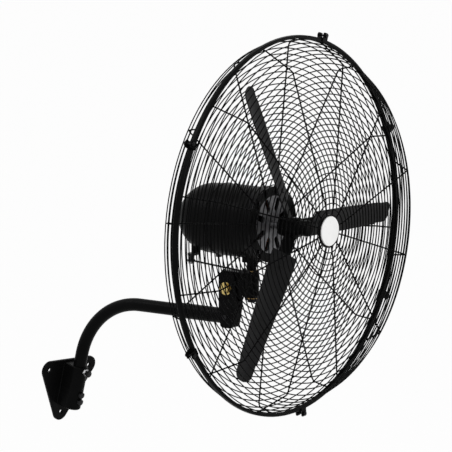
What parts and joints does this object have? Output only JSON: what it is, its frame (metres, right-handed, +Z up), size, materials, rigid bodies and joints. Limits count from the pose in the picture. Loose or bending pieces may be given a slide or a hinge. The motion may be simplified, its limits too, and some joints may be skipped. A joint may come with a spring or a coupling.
{
  "type": "wall mounted fan",
  "caption": "Oscillating wall fan with a bent tube arm on a triangular plate, a tilting neck, a round wire guard with a rim hoop and twisted sheet blades.",
  "frame": {"origin": "centre of the wall plate's back face, on the wall", "axes": "+Z up, +Y into the wall, the fan blows towards -Y; at rest its arm is swung 8 degrees to +X"},
  "size_m": [0.8047, 0.6531, 1.0134],
  "materials": {
    "black_paint": "satin powder coat",
    "black_wire": "satin powder coat",
    "black_trim": "semi-gloss",
    "blade_paint": "satin powder coat",
    "grey_casting": "dull cast",
    "blackened_steel": "black zinc",
    "zinc": "bright zinc",
    "yellow_zinc": "yellow zinc",
    "bronze": "plain bearing bronze",
    "machined_steel": "ground",
    "laminations": "stacked steel sheet",
    "copper": "enamelled wire",
    "white_plastic": "smooth",
    "gland_plastic": "moulded"
  },
  "bodies": {
    "wall_bracket": {"wall_plate": "black_paint", "arm_socket": "black_paint", "clamp_screws": "blackened_steel", "clamp_lock_nut": "zinc"},
    "arm": {"arm_tube": "black_paint", "neck_casting": "black_paint", "cross_bolt": "blackened_steel", "cross_bolt_nut": "blackened_steel", "tilt_bolt": "yellow_zinc", "tilt_washers": "yellow_zinc", "tilt_nut": "yellow_zinc"},
    "tilt_bracket": {"tilt_block": "black_paint", "pivot_bushes": "bronze", "link_anchor": "blackened_steel"},
    "fan_head": {"pivot_post": "black_paint", "pivot_retainer": "blackened_steel", "motor_body": "black_paint", "rear_cover": "black_paint", "cover_screw": "blackened_steel", "end_bell": "grey_casting", "rear_end_plate": "black_paint", "front_bearing": "machined_steel", "rear_bearing": "machined_steel", "stator_stack": "laminations", "stator_windings": "copper", "cable_gland": "gland_plastic", "drive_housing": "black_paint", "guard_mount_ring": "black_paint", "mount_screws": "blackened_steel", "back_guard_ribs": "black_wire", "back_guard_rings": "black_wire", "back_side_rings": "black_wire", "front_guard_ribs": "black_wire", "front_guard_rings": "black_wire", "front_side_rings": "black_wire", "rim_wires": "black_wire", "guard_hoop": "black_trim", "guard_clips": "black_trim", "clip_screws": "blackened_steel", "clip_nuts": "blackened_steel", "badge_dish": "black_trim", "badge": "white_plastic"},
    "rotor": {"motor_shaft": "machined_steel", "rotor_core": "laminations", "drive_worm": "machined_steel", "fan_hub": "black_trim", "hub_set_screw": "zinc", "hub_nose": "black_trim", "blade_1": "blade_paint", "blade_2": "blade_paint", "blade_3": "blade_paint", "blade_bolts": "blade_paint", "blade_bolt_nuts": "blackened_steel"},
    "crank": {"crank_shaft": "machined_steel", "worm_wheel": "bronze", "crank_arm": "blackened_steel", "crank_pin": "blackened_steel", "crank_pin_nut": "zinc"},
    "link": {"link_rod": "blackened_steel"}
  },
  "joints": [
    {"name": "arm_swivel", "type": "hinge", "parent": "wall_bracket", "child": "arm", "pos_m": [0, -0.034, 0], "axis": [0, 0, 1], "range_deg": [-38, 22]},
    {"name": "tilt", "type": "hinge", "parent": "arm", "child": "tilt_bracket", "pos_m": [0.04803, -0.37576, 0.35172], "axis": [0.9903, 0.1392, 0], "range_deg": [-15, 25]},
    {"name": "oscillation", "type": "hinge", "parent": "tilt_bracket", "child": "fan_head", "pos_m": [0.05507, -0.42586, 0.38114], "axis": [-0.032, 0.2278, 0.9732], "range_deg": [-35, 35]},
    {"name": "fan_spin", "type": "hinge", "parent": "fan_head", "child": "rotor", "pos_m": [0.06364, -0.48683, 0.52928], "axis": [0.1354, -0.9637, 0.23], "continuous": true},
    {"name": "crank_turn", "type": "hinge", "parent": "fan_head", "child": "crank", "pos_m": [0.01561, -0.28874, 0.40498], "axis": [-0.032, 0.2278, 0.9732], "range_deg": [-57, 57]},
    {"name": "link_swing", "type": "hinge", "parent": "crank", "child": "link", "pos_m": [-0.00071, -0.29482, 0.38912], "axis": [-0.032, 0.2278, 0.9732], "range_deg": [-57, 57]}
  ],
  "couplings": [
    {"joint": "crank_turn", "follows": "oscillation", "ratio": -1.6},
    {"joint": "link_swing", "follows": "oscillation", "ratio": 1.6}
  ]
}
